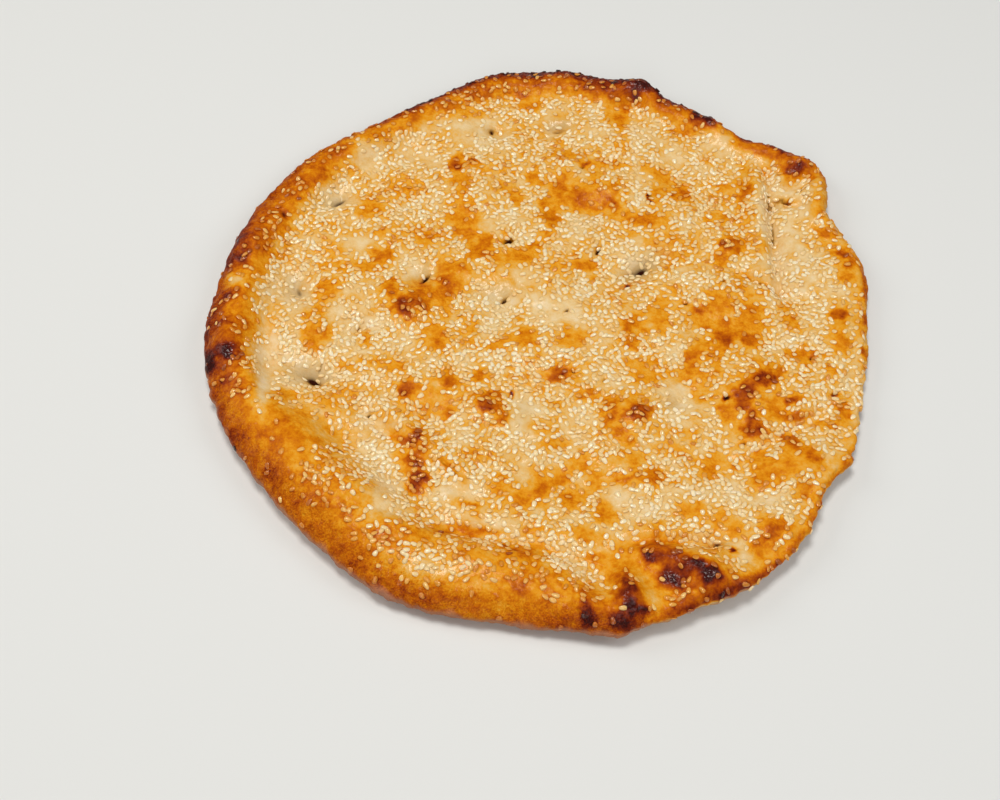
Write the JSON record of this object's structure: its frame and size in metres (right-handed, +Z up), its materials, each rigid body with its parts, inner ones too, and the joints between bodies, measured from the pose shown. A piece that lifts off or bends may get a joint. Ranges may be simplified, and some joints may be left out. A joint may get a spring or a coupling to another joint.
{
  "type": "sesame naan",
  "caption": "Round leavened flatbread with a puffy rim, a thin dimpled middle, folds, baked blisters and sesame seeds on top.",
  "frame": {"origin": "on the surface it lies on, under the middle of the bread's box", "axes": "+Z up through the bread, +Y away from the viewer of the reference picture, +X to that viewer's right"},
  "size_m": [0.2869, 0.3005, 0.0194],
  "materials": {
    "crust": "baked bread crust, satin where glazed",
    "sesame_seed": "hulled sesame, satin"
  },
  "bodies": {
    "root": {"sesame_naan": "crust"}
  },
  "joints": []
}
